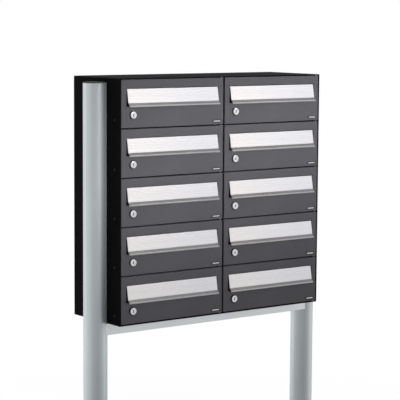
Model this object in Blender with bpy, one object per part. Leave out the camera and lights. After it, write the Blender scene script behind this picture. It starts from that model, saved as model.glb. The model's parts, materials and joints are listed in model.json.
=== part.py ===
"""Freestanding cluster mailbox unit: ten lockable letter compartments on two posts.

Units are metres. +X runs to the right along the front, +Y from the front to the back, +Z up.
The origin is on the ground, at the centre of the unit's outer box seen from above.

The housing is a black sheet-metal case. Shelves and one upright divider interlock inside it
and make two columns of five compartments. Each compartment has a folded door that turns on an
upright rod at its right edge, a letter flap that lifts on pins at its top edge, and a cam lock
whose cam turns down behind the keeper lip of the shelf below.
"""

import math

import bmesh
import bpy
from mathutils import Matrix, Vector

# Compartment grid
ROWS = 5
COLUMNS = 2
ROW_PITCH = 0.145
COLUMN_PITCH = 0.380

# Housing
HOUSING_DEPTH = 0.250
HOUSING_BOTTOM = 0.800
CASE_SHEET = 0.0025
SHELF_SHEET = 0.0015
FLANGE_SHEET = 0.002
FLANGE_DROP = 0.015
FIT_GAP = 0.0003
SIDE_FLANGE_START = 0.025
INNER_BACK = 0.2445
SHELF_FRONT = 0.016
KEEPER_RISE = 0.01275
KEEPER_NOTCH_HALF = 0.0065
SHELF_END_DROP = 0.012
SHELF_END_DEPTH = (0.030, 0.200)
DIVIDER_FRONT = 0.018

# Doors
DOOR_WIDTH = 0.372
DOOR_HEIGHT = 0.141
DOOR_DEPTH = 0.0155
DOOR_SHEET = 0.002
DOOR_CENTRE_GAP = 0.003
HINGE_INSET = 0.005
HINGE_ROD_RADIUS = 0.0025
HINGE_HOLE_RADIUS = 0.0028
HINGE_SOCKET_DEPTH = 0.0013
HINGE_TAB_REACH = 0.0145
HINGE_TAB_HALF = 0.0065

# Letter flaps, measured from the door's left and bottom edges
FLAP_WIDTH = 0.330
FLAP_TOP = 0.115
FLAP_SHEET = 0.0015
FLAP_BARREL_RADIUS = 0.0026
FLAP_AXIS_BEHIND_FRONT = 0.0033
FLAP_PANEL_LENGTH = 0.04075
FLAP_PANEL_TILT = math.radians(9.5)
FLAP_LIP_LENGTH = 0.0106
FLAP_LIP_TILT = math.radians(45)
FLAP_HEM_LENGTH = 0.003
FLAP_PIN_RADIUS = 0.0009
FLAP_PIN_HOLE_RADIUS = 0.00125
FLAP_PIN_LENGTH = 0.0052
FLAP_PIN_ROOT = 0.003
SLOT_SIDE_GAP = 0.003
SLOT_TOP = 0.116
SLOT_BOTTOM = 0.063
EAR_DEPTH = 0.0075
EAR_HEIGHT = 0.010

# Cam locks, measured from the door's left and bottom edges
LOCK_FROM_LEFT = 0.041
LOCK_FROM_BOTTOM = 0.0375
LOCK_FACE_RADIUS = 0.0105
LOCK_PROUD = 0.0045
LOCK_BARREL_RADIUS = 0.0085
LOCK_HOLE_RADIUS = 0.0088
LOCK_BARREL_END = 0.0185
PLUG_RADIUS = 0.006
PLUG_BORE_RADIUS = 0.0063
PLUG_RECESS = 0.0004
CAM_START = 0.0192
CAM_SHEET = 0.002
CAM_REACH = 0.033
CAM_WIDTH = 0.012
CAM_HUB_RADIUS = 0.008
KEYWAY_WIDTH = 0.0016
KEYWAY_HEIGHT = 0.0075
KEYWAY_DEPTH = 0.009

# Posts, crossbar and base plates
POST_RADIUS = 0.036
POST_WALL = 0.003
POST_FROM_SIDE = 0.022
POST_FROM_FRONT = 0.098
POST_BELOW_ROOF = 0.016
STUD_RADIUS = 0.004
STUD_HOLE_RADIUS = 0.0045
STUD_PROUD = 0.003
STUD_ROOT = 0.001
CAP_EDGE = 0.001
CAP_CROWN = 0.0035
CAP_CROWN_SCALE = 0.7
CAP_SPIGOT = 0.012
CAP_SPIGOT_GAP = 0.0004
CROSSBAR_HEIGHT = 0.035
CROSSBAR_DEPTH = 0.067
CROSSBAR_WALL = 0.003
BASE_SIZE = 0.200
BASE_THICKNESS = 0.008
BASE_CORNER = 0.012
ANCHOR_SPACING = 0.150
ANCHOR_HOLE_RADIUS = 0.007

# Facets around round pieces
POST_FACETS = 48
CUT_DISC_FACETS = 40
LOCK_FACETS = 20
PIN_FACETS = 12
BARREL_STEPS = 10
TIP_STEPS = 8
HUB_STEPS = 16
CORNER_STEPS = 5

# How far a cutting shape passes the face it cuts
OVERSHOOT = 0.01

# Places worked out from the sizes above
HOUSING_HALF = COLUMNS * COLUMN_PITCH / 2
HOUSING_HEIGHT = ROWS * ROW_PITCH + 2 * CASE_SHEET
HOUSING_TOP = HOUSING_BOTTOM + HOUSING_HEIGHT
ROW_BASE = HOUSING_BOTTOM + CASE_SHEET
ROOF_UNDERSIDE = HOUSING_TOP - CASE_SHEET
CASE_INSIDE = HOUSING_HALF - CASE_SHEET
LINER_HALF = CASE_INSIDE - FIT_GAP
ROW_GAP = (ROW_PITCH - DOOR_HEIGHT) / 2
DOOR_SIDE_GAP = COLUMN_PITCH - DOOR_WIDTH - DOOR_CENTRE_GAP
FLAP_REACH = (
    FLAP_BARREL_RADIUS * math.cos(FLAP_PANEL_TILT)
    + FLAP_PANEL_LENGTH * math.sin(FLAP_PANEL_TILT)
    + FLAP_LIP_LENGTH * math.sin(FLAP_LIP_TILT)
    - FLAP_AXIS_BEHIND_FRONT
)
FRONT = -(HOUSING_DEPTH - FLAP_REACH) / 2
BACK = FRONT + HOUSING_DEPTH
HINGE_Y = FRONT + HINGE_INSET
POST_X = HOUSING_HALF + POST_FROM_SIDE
POST_Y = FRONT + POST_FROM_FRONT
POST_TOP = HOUSING_TOP - POST_BELOW_ROOF
CROSSBAR_TOP = HOUSING_BOTTOM - FIT_GAP
SHELF_LEVELS = [ROW_BASE + row * ROW_PITCH for row in range(1, ROWS)]
STUD_LEVELS = [ROW_BASE + (row + 0.5) * ROW_PITCH for row in range(ROWS)]

SIDES = (("left", -1), ("right", 1))


def clear_scene():
    """Remove every object that a new file holds."""
    for obj in list(bpy.data.objects):
        bpy.data.objects.remove(obj)


def make_material(name, colour, roughness, metallic):
    """Make a Principled material."""
    material = bpy.data.materials.new(name)
    material.use_nodes = True
    shader = material.node_tree.nodes["Principled BSDF"]
    shader.inputs["Base Color"].default_value = (*colour, 1.0)
    shader.inputs["Roughness"].default_value = roughness
    shader.inputs["Metallic"].default_value = metallic
    material.diffuse_color = (*colour, 1.0)
    return material


def loose(mesh):
    """Stand a mesh in the scene as a solid that the Booleans below can use."""
    obj = bpy.data.objects.new("solid", mesh)
    obj.hide_render = True
    obj.display_type = "WIRE"
    bpy.context.collection.objects.link(obj)
    return obj


def solid(bm):
    """Turn a bmesh into a loose solid with its faces pointing out."""
    bmesh.ops.recalc_face_normals(bm, faces=bm.faces)
    mesh = bpy.data.meshes.new("solid")
    bm.to_mesh(mesh)
    bm.free()
    return loose(mesh)


def block(low, high):
    """Make a cuboid between two corners."""
    bm = bmesh.new()
    low = Vector(low)
    high = Vector(high)
    matrix = Matrix.Translation((low + high) / 2) @ Matrix.Diagonal((*(high - low), 1.0))
    bmesh.ops.create_cube(bm, size=1.0, matrix=matrix)
    return solid(bm)


def prism(outline, low, high, axis="Z"):
    """Extrude an outline between two levels of an axis.

    The outline's points are (x, y) along Z, (x, z) along Y and (y, z) along X.
    """
    place = {
        "X": lambda p, level: (level, p[0], p[1]),
        "Y": lambda p, level: (p[0], level, p[1]),
        "Z": lambda p, level: (p[0], p[1], level),
    }[axis]
    bm = bmesh.new()
    ring = [bm.verts.new(place(point, low)) for point in outline]
    face = bm.faces.new(ring)
    extruded = bmesh.ops.extrude_face_region(bm, geom=[face])
    shift = Vector(place((0.0, 0.0), high - low))
    moved = [item for item in extruded["geom"] if isinstance(item, bmesh.types.BMVert)]
    bmesh.ops.translate(bm, verts=moved, vec=shift)
    return solid(bm)


def arc(radius, start, end, steps, centre=(0.0, 0.0)):
    """List points along a circular arc, both ends included."""
    angles = [start + (end - start) * i / steps for i in range(steps + 1)]
    return [(centre[0] + radius * math.cos(a), centre[1] + radius * math.sin(a)) for a in angles]


def circle(radius, facets, centre=(0.0, 0.0)):
    """List the points of a closed circle."""
    return arc(radius, 0.0, math.tau, facets, centre)[:-1]


def disc_part(radius, chord, side, larger):
    """Outline of a disc cut by an upright chord, on one side of its centre.

    The larger part holds the disc's centre. The chord lies towards +X where side is 1.
    """
    half = math.acos(chord / radius)
    if larger:
        points = arc(radius, half, math.tau - half, CUT_DISC_FACETS)
    else:
        points = arc(radius, -half, half, POST_FACETS - CUT_DISC_FACETS)
    return [(side * x, y) for x, y in points]


def shape(base, joins=(), cuts=()):
    """Bake one mesh: the base solid with the joins added to it and the cuts taken from it."""
    for operation, tools in (("UNION", joins), ("DIFFERENCE", cuts)):
        for tool in tools:
            modifier = base.modifiers.new("Boolean", "BOOLEAN")
            modifier.operation = operation
            modifier.object = tool
    bpy.context.view_layer.update()
    depsgraph = bpy.context.evaluated_depsgraph_get()
    mesh = bpy.data.meshes.new_from_object(base.evaluated_get(depsgraph))
    for obj in (base, *joins, *cuts):
        bpy.data.objects.remove(obj)
    return mesh


def smooth(mesh):
    """Shade round walls smooth and keep the edges between them and flat faces sharp."""
    mesh.shade_smooth()
    mesh.set_sharp_from_angle(angle=math.radians(35))


def put(name, mesh, material, location=(0.0, 0.0, 0.0), parent=None):
    """Place a named sub-part that has its own object and its own material slot."""
    obj = bpy.data.objects.new(name, mesh)
    if not mesh.materials:
        mesh.materials.append(material)
    bpy.context.collection.objects.link(obj)
    obj.parent = parent
    obj.location = location
    return obj


def folded_section(start, folds, thickness):
    """Outline of a folded strip in (y, z), from its outer face and back along its inner face.

    Each fold is a pair: the leg's tilt out of the upright, and its length down the outer face.
    """
    outer = [Vector(start)]
    normals = []
    for tilt, length in folds:
        normals.append(Vector((-math.cos(tilt), math.sin(tilt))))
        step = Vector((-math.sin(tilt), -math.cos(tilt))) * length
        outer.append(outer[-1] + step)
    inner = []
    for i in range(1, len(outer)):
        before = normals[i - 1]
        after = normals[min(i, len(normals) - 1)]
        mitre = (before + after) / (1 + before.dot(after))
        inner.append(outer[i] - mitre * thickness)
    return [tuple(p) for p in outer], [tuple(p) for p in reversed(inner)]


def roof_mesh():
    """Top sheet with flanges turned down inside the sides and the back."""
    flange_low = ROOF_UNDERSIDE - FLANGE_DROP
    inside = LINER_HALF - FLANGE_SHEET
    back_inside = BACK - CASE_SHEET - FIT_GAP
    sheet = block((-HOUSING_HALF, FRONT, ROOF_UNDERSIDE), (HOUSING_HALF, BACK, HOUSING_TOP))
    left = block(
        (-LINER_HALF, FRONT + SIDE_FLANGE_START, flange_low),
        (-inside, back_inside, HOUSING_TOP - CASE_SHEET / 2),
    )
    right = block(
        (inside, FRONT + SIDE_FLANGE_START, flange_low),
        (LINER_HALF, back_inside, HOUSING_TOP - CASE_SHEET / 2),
    )
    rear = block(
        (-LINER_HALF, back_inside - FLANGE_SHEET, flange_low),
        (LINER_HALF, back_inside, HOUSING_TOP - CASE_SHEET / 2),
    )
    sockets = [
        prism(
            circle(HINGE_HOLE_RADIUS, PIN_FACETS, (x, HINGE_Y)),
            ROOF_UNDERSIDE - CASE_SHEET,
            ROOF_UNDERSIDE + HINGE_SOCKET_DEPTH,
        )
        for x in hinge_lines()
    ]
    return shape(sheet, (left, right, rear), sockets)


def keeper_lips(low, high):
    """Upright lips that the lock cams turn down behind, one for each column.

    They stop short of the hinge rods, where a door's inner corner swings past as it opens.
    """
    near = FRONT + SHELF_FRONT
    ends = [x - KEEPER_NOTCH_HALF for x in hinge_lines()]
    starts = (-LINER_HALF, hinge_lines()[0] + KEEPER_NOTCH_HALF)
    return [
        block((start, near, low), (end, near + SHELF_SHEET, high))
        for start, end in zip(starts, ends)
    ]


def floor_mesh():
    """Bottom sheet with flanges turned up at the sides and back, and keeper lips in front."""
    flange_high = ROW_BASE + FLANGE_DROP
    inside = LINER_HALF - FLANGE_SHEET
    root = HOUSING_BOTTOM + CASE_SHEET / 2
    back_inside = BACK - CASE_SHEET - FIT_GAP
    sheet = block((-HOUSING_HALF, FRONT, HOUSING_BOTTOM), (HOUSING_HALF, BACK, ROW_BASE))
    left = block(
        (-LINER_HALF, FRONT + SIDE_FLANGE_START, root),
        (-inside, back_inside, flange_high),
    )
    right = block(
        (inside, FRONT + SIDE_FLANGE_START, root),
        (LINER_HALF, back_inside, flange_high),
    )
    rear = block(
        (-LINER_HALF, back_inside - FLANGE_SHEET, root),
        (LINER_HALF, back_inside, flange_high),
    )
    keepers = keeper_lips(root, ROW_BASE + KEEPER_RISE)
    sockets = [
        prism(
            circle(HINGE_HOLE_RADIUS, PIN_FACETS, (x, HINGE_Y)),
            ROW_BASE - HINGE_SOCKET_DEPTH,
            ROW_BASE + CASE_SHEET,
        )
        for x in hinge_lines()
    ]
    return shape(sheet, (left, right, rear, *keepers), sockets)


def side_mesh(side):
    """Side sheet between the roof and the floor, with a hole in every row for a stud of the post."""
    edges = sorted((side * CASE_INSIDE, side * HOUSING_HALF))
    sheet = block(
        (edges[0], FRONT, ROW_BASE + FIT_GAP),
        (edges[1], BACK, ROOF_UNDERSIDE - FIT_GAP),
    )
    ends = (edges[0] - OVERSHOOT, edges[1] + OVERSHOOT)
    holes = [prism(circle(STUD_HOLE_RADIUS, PIN_FACETS, (POST_Y, z)), *ends, "X") for z in STUD_LEVELS]
    return shape(sheet, cuts=holes)


def back_mesh():
    """Plain back sheet between the side sheets."""
    return shape(
        block(
            (-LINER_HALF, BACK - CASE_SHEET, ROW_BASE + FIT_GAP),
            (LINER_HALF, BACK, ROOF_UNDERSIDE - FIT_GAP),
        )
    )


def divider_mesh():
    """Upright sheet between the columns, slotted from its front edge for each shelf."""
    half = SHELF_SHEET / 2
    middle = FRONT + (DIVIDER_FRONT + INNER_BACK) / 2
    sheet = block(
        (-half, FRONT + DIVIDER_FRONT, ROW_BASE + FIT_GAP),
        (half, FRONT + INNER_BACK, ROOF_UNDERSIDE - FIT_GAP),
    )
    slots = [
        block(
            (-4 * half, FRONT, level - half - FIT_GAP),
            (4 * half, middle + FIT_GAP, level + half + FIT_GAP),
        )
        for level in SHELF_LEVELS
    ]
    return shape(sheet, cuts=slots)


def shelf_mesh():
    """Shelf at level zero: a sheet with two keeper lips, end flanges and two hinge tabs.

    It is slotted from its rear edge for the upright divider.
    """
    half = SHELF_SHEET / 2
    middle = FRONT + (DIVIDER_FRONT + INNER_BACK) / 2
    front = FRONT + SHELF_FRONT
    sheet = block((-LINER_HALF, front, -half), (LINER_HALF, FRONT + INNER_BACK, half))
    joins = keeper_lips(0.0, KEEPER_RISE)
    for _, side in SIDES:
        edges = sorted((side * (LINER_HALF - SHELF_SHEET), side * LINER_HALF))
        near, far = SHELF_END_DEPTH
        low = (edges[0], FRONT + near, -half - SHELF_END_DROP)
        joins.append(block(low, (edges[1], FRONT + far, 0.0)))
    cuts = [block((-half - FIT_GAP, middle, -OVERSHOOT), (half + FIT_GAP, BACK, OVERSHOOT))]
    for x in hinge_lines():
        low = (x - HINGE_TAB_HALF, front - HINGE_TAB_REACH, -half)
        joins.append(block(low, (x + HINGE_TAB_HALF, front + SHELF_SHEET, half)))
        hole = circle(HINGE_HOLE_RADIUS, PIN_FACETS, (x, HINGE_Y))
        cuts.append(prism(hole, -OVERSHOOT, OVERSHOOT))
    return shape(sheet, joins, cuts)


def hinge_lines():
    """X of the upright hinge rod of each column."""
    return (-DOOR_CENTRE_GAP - HINGE_INSET, HOUSING_HALF - DOOR_SIDE_GAP - HINGE_INSET)


def hinge_rod_mesh():
    """Rod that carries one column of doors, standing on level zero."""
    length = ROWS * ROW_PITCH + 2 * (HINGE_SOCKET_DEPTH - FIT_GAP)
    mesh = shape(prism(circle(HINGE_ROD_RADIUS, PIN_FACETS), 0.0, length))
    smooth(mesh)
    return mesh


def door_mesh():
    """Folded door with its origin on the hinge axis, level with its bottom edge.

    The sheet has four edges turned back, a letter slot with two pierced ears behind its top
    corners for the flap's pins, a lock hole, and holes for the hinge rod in its top and bottom.
    """
    left = HINGE_INSET - DOOR_WIDTH
    front = -HINGE_INSET
    back = front + DOOR_DEPTH
    flap_axis = (front + FLAP_AXIS_BEHIND_FRONT, FLAP_TOP - FLAP_BARREL_RADIUS)
    slot_left = left + (DOOR_WIDTH - FLAP_WIDTH) / 2 - SLOT_SIDE_GAP
    slot_right = slot_left + FLAP_WIDTH + 2 * SLOT_SIDE_GAP
    pan = block((left, front, 0.0), (HINGE_INSET, back, DOOR_HEIGHT))
    hollow = block(
        (left + DOOR_SHEET, front + DOOR_SHEET, DOOR_SHEET),
        (HINGE_INSET - DOOR_SHEET, back + DOOR_SHEET, DOOR_HEIGHT - DOOR_SHEET),
    )
    shell = loose(shape(pan, cuts=(hollow,)))
    ear_back = front + DOOR_SHEET + EAR_DEPTH
    ears = [
        block(
            (edge - DOOR_SHEET, front + DOOR_SHEET / 2, SLOT_TOP - EAR_HEIGHT),
            (edge + DOOR_SHEET, ear_back, SLOT_TOP + DOOR_SHEET),
        )
        for edge in (slot_left, slot_right)
    ]
    slot = block(
        (slot_left, front - DOOR_SHEET, SLOT_BOTTOM),
        (slot_right, ear_back + DOOR_SHEET, SLOT_TOP),
    )
    lock_hole = prism(
        circle(LOCK_HOLE_RADIUS, LOCK_FACETS, (left + LOCK_FROM_LEFT, LOCK_FROM_BOTTOM)),
        front - DOOR_SHEET,
        front + 2 * DOOR_SHEET,
        "Y",
    )
    rod_hole = prism(circle(HINGE_HOLE_RADIUS, PIN_FACETS), -DOOR_SHEET, DOOR_HEIGHT + DOOR_SHEET)
    pin_hole = prism(
        circle(FLAP_PIN_HOLE_RADIUS, PIN_FACETS, flap_axis),
        slot_left - 2 * DOOR_SHEET,
        slot_right + 2 * DOOR_SHEET,
        "X",
    )
    return shape(shell, ears, (slot, lock_hole, rod_hole, pin_hole))


def flap_mesh():
    """Folded letter flap with its origin on its pivot axis, halfway along it."""
    start = (
        -FLAP_BARREL_RADIUS * math.cos(FLAP_PANEL_TILT),
        FLAP_BARREL_RADIUS * math.sin(FLAP_PANEL_TILT),
    )
    folds = (
        (FLAP_PANEL_TILT, FLAP_PANEL_LENGTH),
        (FLAP_LIP_TILT, FLAP_LIP_LENGTH),
        (0.0, FLAP_HEM_LENGTH),
    )
    outer, inner = folded_section(start, folds, FLAP_SHEET)
    behind = FLAP_BARREL_RADIUS - FLAP_SHEET
    drop = math.sqrt(FLAP_BARREL_RADIUS**2 - behind**2)
    turn = math.pi - FLAP_PANEL_TILT
    barrel_start = turn + math.atan2(drop, behind) - math.tau
    barrel = arc(FLAP_BARREL_RADIUS, barrel_start, turn, BARREL_STEPS)[:-1]
    half = FLAP_WIDTH / 2
    panel = prism(outer + inner + barrel, -half, half, "X")
    pins = [
        prism(
            circle(FLAP_PIN_RADIUS, PIN_FACETS),
            min(side * (half - FLAP_PIN_ROOT), side * (half + FLAP_PIN_LENGTH)),
            max(side * (half - FLAP_PIN_ROOT), side * (half + FLAP_PIN_LENGTH)),
            "X",
        )
        for _, side in SIDES
    ]
    mesh = shape(panel, pins)
    smooth(mesh)
    return mesh


def lock_body_mesh():
    """Lock barrel with a round face flange, its origin on its axis at the door's front."""
    face = prism(circle(LOCK_FACE_RADIUS, LOCK_FACETS), -LOCK_PROUD, -FIT_GAP, "Y")
    barrel = prism(circle(LOCK_BARREL_RADIUS, LOCK_FACETS), -LOCK_PROUD / 2, LOCK_BARREL_END, "Y")
    bore = prism(circle(PLUG_BORE_RADIUS, LOCK_FACETS), -2 * LOCK_PROUD, 2 * LOCK_BARREL_END, "Y")
    mesh = shape(face, (barrel,), (bore,))
    smooth(mesh)
    return mesh


def lock_plug_mesh():
    """Key plug with a keyway in its face and a flat cam on its inner end, pointing to +X."""
    face = PLUG_RECESS - LOCK_PROUD
    plug = prism(circle(PLUG_RADIUS, LOCK_FACETS), face, CAM_START + CAM_SHEET / 2, "Y")
    tip = arc(CAM_WIDTH / 2, -math.pi / 2, math.pi / 2, TIP_STEPS, (CAM_REACH - CAM_WIDTH / 2, 0.0))
    lean = math.acos(CAM_WIDTH / 2 / CAM_HUB_RADIUS)
    hub = arc(CAM_HUB_RADIUS, math.pi / 2 - lean, 1.5 * math.pi + lean, HUB_STEPS)
    cam = prism(tip + hub, CAM_START, CAM_START + CAM_SHEET, "Y")
    keyway = block(
        (-KEYWAY_WIDTH / 2, face - KEYWAY_DEPTH, -KEYWAY_HEIGHT / 2),
        (KEYWAY_WIDTH / 2, face + KEYWAY_DEPTH, KEYWAY_HEIGHT / 2),
    )
    mesh = shape(plug, (cam,), (keyway,))
    smooth(mesh)
    return mesh


def post_mesh(side):
    """Round post with an inner web, its origin on its axis at ground level.

    Along the housing the round wall beyond the web is milled away, so that the web's flat face
    lies against the side sheet and the housing stands on the shoulder that is left below it.
    From the web a stud goes through the side sheet into every row, where a nut holds it.
    """
    towards = -side
    web_outer = POST_FROM_SIDE - FIT_GAP
    web_inner = web_outer - POST_WALL
    bore = POST_RADIUS - POST_WALL
    bottom = BASE_THICKNESS + FIT_GAP
    shoulder = HOUSING_BOTTOM - FIT_GAP
    tube = prism(circle(POST_RADIUS, POST_FACETS), bottom, POST_TOP)
    chamber = prism(disc_part(bore, web_inner, towards, True), bottom - OVERSHOOT, POST_TOP + OVERSHOOT)
    side_chamber = prism(
        disc_part(bore, web_outer + FIT_GAP, towards, False),
        bottom - OVERSHOOT,
        POST_TOP + OVERSHOOT,
    )
    edges = sorted((towards * web_outer, towards * 2 * POST_RADIUS))
    notch = block(
        (edges[0], -2 * POST_RADIUS, shoulder),
        (edges[1], 2 * POST_RADIUS, POST_TOP + OVERSHOOT),
    )
    trimmed = loose(shape(tube, cuts=(chamber, side_chamber, notch)))
    stud_tip = POST_X - CASE_INSIDE + STUD_PROUD
    ends = sorted((towards * (web_outer - STUD_ROOT), towards * stud_tip))
    studs = [prism(circle(STUD_RADIUS, PIN_FACETS, (0.0, z)), *ends, "X") for z in STUD_LEVELS]
    mesh = shape(trimmed, studs)
    smooth(mesh)
    return mesh


def post_cap_mesh(side):
    """Low domed cap with a spigot that plugs the top of a post, its origin on the post's top."""
    towards = -side
    chord = POST_FROM_SIDE - FIT_GAP
    bm = bmesh.new()
    outline = disc_part(POST_RADIUS, chord, towards, True)
    levels = ((1.0, FIT_GAP), (1.0, CAP_EDGE), (CAP_CROWN_SCALE, CAP_CROWN))
    rings = [
        [bm.verts.new((x * scale, y * scale, level)) for x, y in outline]
        for scale, level in levels
    ]
    bm.faces.new(rings[0])
    bm.faces.new(rings[-1])
    for lower, upper in zip(rings, rings[1:]):
        for i in range(len(outline)):
            j = (i + 1) % len(outline)
            bm.faces.new((lower[i], lower[j], upper[j], upper[i]))
    dome = solid(bm)
    bore = POST_RADIUS - POST_WALL - CAP_SPIGOT_GAP
    inner_chord = chord - POST_WALL - CAP_SPIGOT_GAP
    spigot = prism(disc_part(bore, inner_chord, towards, True), -CAP_SPIGOT, CAP_EDGE / 2 + FIT_GAP)
    mesh = shape(dome, (spigot,))
    smooth(mesh)
    return mesh


def crossbar_mesh():
    """Rectangular tube under the housing, its ends coped to fit round the posts."""
    low = CROSSBAR_TOP - CROSSBAR_HEIGHT
    half = CROSSBAR_DEPTH / 2
    bar = block((-POST_X, POST_Y - half, low), (POST_X, POST_Y + half, CROSSBAR_TOP))
    hollow = block(
        (-2 * POST_X, POST_Y - half + CROSSBAR_WALL, low + CROSSBAR_WALL),
        (2 * POST_X, POST_Y + half - CROSSBAR_WALL, CROSSBAR_TOP - CROSSBAR_WALL),
    )
    ends = [
        prism(
            circle(POST_RADIUS + FIT_GAP, POST_FACETS, (side * POST_X, POST_Y)),
            low - CROSSBAR_HEIGHT,
            CROSSBAR_TOP + CROSSBAR_HEIGHT,
        )
        for _, side in SIDES
    ]
    return shape(bar, cuts=(hollow, *ends))


def base_plate_mesh():
    """Square ground plate with rounded corners and four anchor holes."""
    half = BASE_SIZE / 2
    reach = half - BASE_CORNER
    outline = []
    for quarter, (sx, sy) in enumerate(((1, 1), (-1, 1), (-1, -1), (1, -1))):
        start = quarter * math.pi / 2
        outline += arc(BASE_CORNER, start, start + math.pi / 2, CORNER_STEPS, (sx * reach, sy * reach))
    plate = prism(outline, 0.0, BASE_THICKNESS)
    holes = [
        prism(
            circle(ANCHOR_HOLE_RADIUS, LOCK_FACETS, (sx * ANCHOR_SPACING / 2, sy * ANCHOR_SPACING / 2)),
            -BASE_THICKNESS,
            2 * BASE_THICKNESS,
        )
        for sx in (-1, 1)
        for sy in (-1, 1)
    ]
    return shape(plate, cuts=holes)


def build_housing(black, steel):
    """Place the case, the shelves, the divider and the hinge rods."""
    put("roof", roof_mesh(), black)
    put("floor_panel", floor_mesh(), black)
    put("back_panel", back_mesh(), black)
    for name, side in SIDES:
        put(f"side_panel_{name}", side_mesh(side), black)
    put("centre_divider", divider_mesh(), black)
    shelf = shelf_mesh()
    for number, level in enumerate(reversed(SHELF_LEVELS), start=1):
        put(f"shelf_{number}", shelf, black, (0.0, 0.0, level))
    rod = hinge_rod_mesh()
    foot = ROW_BASE - HINGE_SOCKET_DEPTH + FIT_GAP
    for (name, _), x in zip(SIDES, hinge_lines()):
        put(f"hinge_rod_{name}", rod, steel, (x, HINGE_Y, foot))


def build_compartments(door_grey, stainless, chrome):
    """Place the door, flap, lock body and lock plug of every compartment, from the top row."""
    door = door_mesh()
    flap = flap_mesh()
    lock_body = lock_body_mesh()
    lock_plug = lock_plug_mesh()
    flap_place = (
        HINGE_INSET - DOOR_WIDTH / 2,
        FLAP_AXIS_BEHIND_FRONT - HINGE_INSET,
        FLAP_TOP - FLAP_BARREL_RADIUS,
    )
    lock_place = (HINGE_INSET - DOOR_WIDTH + LOCK_FROM_LEFT, -HINGE_INSET, LOCK_FROM_BOTTOM)
    for row in range(ROWS):
        bottom = ROW_BASE + (ROWS - 1 - row) * ROW_PITCH + ROW_GAP
        for column, hinge_x in enumerate(hinge_lines()):
            number = f"{row * COLUMNS + column + 1:02d}"
            leaf = put(f"door_{number}", door, door_grey, (hinge_x, HINGE_Y, bottom))
            put(f"flap_{number}", flap, stainless, flap_place, leaf)
            put(f"lock_body_{number}", lock_body, chrome, lock_place, leaf)
            put(f"lock_plug_{number}", lock_plug, chrome, lock_place, leaf)


def build_stand(aluminium, cap_grey, zinc):
    """Place the posts with their caps and base plates, and the crossbar."""
    base = base_plate_mesh()
    for name, side in SIDES:
        x = side * POST_X
        put(f"post_{name}", post_mesh(side), aluminium, (x, POST_Y, 0.0))
        put(f"post_cap_{name}", post_cap_mesh(side), cap_grey, (x, POST_Y, POST_TOP))
        put(f"base_plate_{name}", base, zinc, (x, POST_Y, 0.0))
    put("crossbar", crossbar_mesh(), aluminium)


def main():
    clear_scene()
    black = make_material("black_powder_coat", (0.012, 0.012, 0.013), 0.45, 0.0)
    door_grey = make_material("dark_grey_powder_coat", (0.075, 0.073, 0.080), 0.5, 0.0)
    stainless = make_material("brushed_stainless_steel", (0.72, 0.71, 0.70), 0.3, 1.0)
    chrome = make_material("chrome_plate", (0.80, 0.80, 0.80), 0.12, 1.0)
    steel = make_material("bright_steel", (0.55, 0.55, 0.55), 0.3, 1.0)
    aluminium = make_material("anodised_aluminium", (0.58, 0.60, 0.61), 0.35, 1.0)
    cap_grey = make_material("dark_grey_plastic", (0.05, 0.052, 0.055), 0.55, 0.0)
    zinc = make_material("galvanised_steel", (0.50, 0.51, 0.52), 0.45, 1.0)
    build_housing(black, steel)
    build_compartments(door_grey, stainless, chrome)
    build_stand(aluminium, cap_grey, zinc)


main()
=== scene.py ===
"""Looks of the freestanding cluster mailbox unit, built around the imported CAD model.

Units are metres, in the CAD model's frame: the doors face -Y and the ground is at z = 0.
The case, its shelves, the hinge rods, the crossbar and the base plates are the CAD nodes, with
materials and softened edges. Finer pieces stand in for the doors, flaps, posts, caps and locks,
and the small fastenings that the CAD model leaves out are added.
"""

import json
import math

import bmesh
import bpy
from mathutils import Matrix, Vector


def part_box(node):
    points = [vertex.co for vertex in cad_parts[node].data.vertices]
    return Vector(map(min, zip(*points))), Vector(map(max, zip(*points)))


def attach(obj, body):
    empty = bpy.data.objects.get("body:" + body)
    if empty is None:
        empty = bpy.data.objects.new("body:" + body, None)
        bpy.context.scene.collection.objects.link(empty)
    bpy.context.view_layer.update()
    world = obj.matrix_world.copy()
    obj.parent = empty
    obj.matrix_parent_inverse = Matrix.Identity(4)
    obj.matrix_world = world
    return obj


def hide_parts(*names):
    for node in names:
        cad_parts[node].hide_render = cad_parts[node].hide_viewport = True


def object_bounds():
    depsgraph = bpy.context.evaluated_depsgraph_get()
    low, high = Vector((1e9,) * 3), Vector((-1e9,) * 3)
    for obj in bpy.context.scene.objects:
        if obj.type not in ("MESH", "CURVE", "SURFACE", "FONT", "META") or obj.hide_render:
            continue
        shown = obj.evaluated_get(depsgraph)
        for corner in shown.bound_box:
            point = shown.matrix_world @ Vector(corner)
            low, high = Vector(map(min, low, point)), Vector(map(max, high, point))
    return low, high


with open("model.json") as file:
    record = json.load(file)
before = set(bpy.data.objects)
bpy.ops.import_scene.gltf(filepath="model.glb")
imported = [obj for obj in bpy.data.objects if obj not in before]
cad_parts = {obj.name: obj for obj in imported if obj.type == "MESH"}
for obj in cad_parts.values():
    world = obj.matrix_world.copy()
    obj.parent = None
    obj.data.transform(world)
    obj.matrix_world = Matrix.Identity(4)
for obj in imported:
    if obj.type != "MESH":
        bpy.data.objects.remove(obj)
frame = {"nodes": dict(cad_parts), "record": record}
CAD_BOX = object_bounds()

NUMBERS = [f"{i:02d}" for i in range(1, 11)]
SHELVES = [f"shelf_{i}" for i in range(1, 5)]
SIDES = (("left", -1), ("right", 1))

# Camera
CAMERA_PLACE = (-2.998, -4.037, 1.707)
CAMERA_HEADING = math.radians(36.59)
CAMERA_TILT = math.radians(-6.42)
CAMERA_ROLL = math.radians(0.35)
CAMERA_LENS = 146.15

# How far a cutting shape passes the face it cuts, and a piece stands off the face it lies on
PAST = 0.01
HAIR = 0.00002

# Angles in degrees above which an edge is sharp
CREASE = 32.0
FINE_CREASE = 28.0

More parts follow.
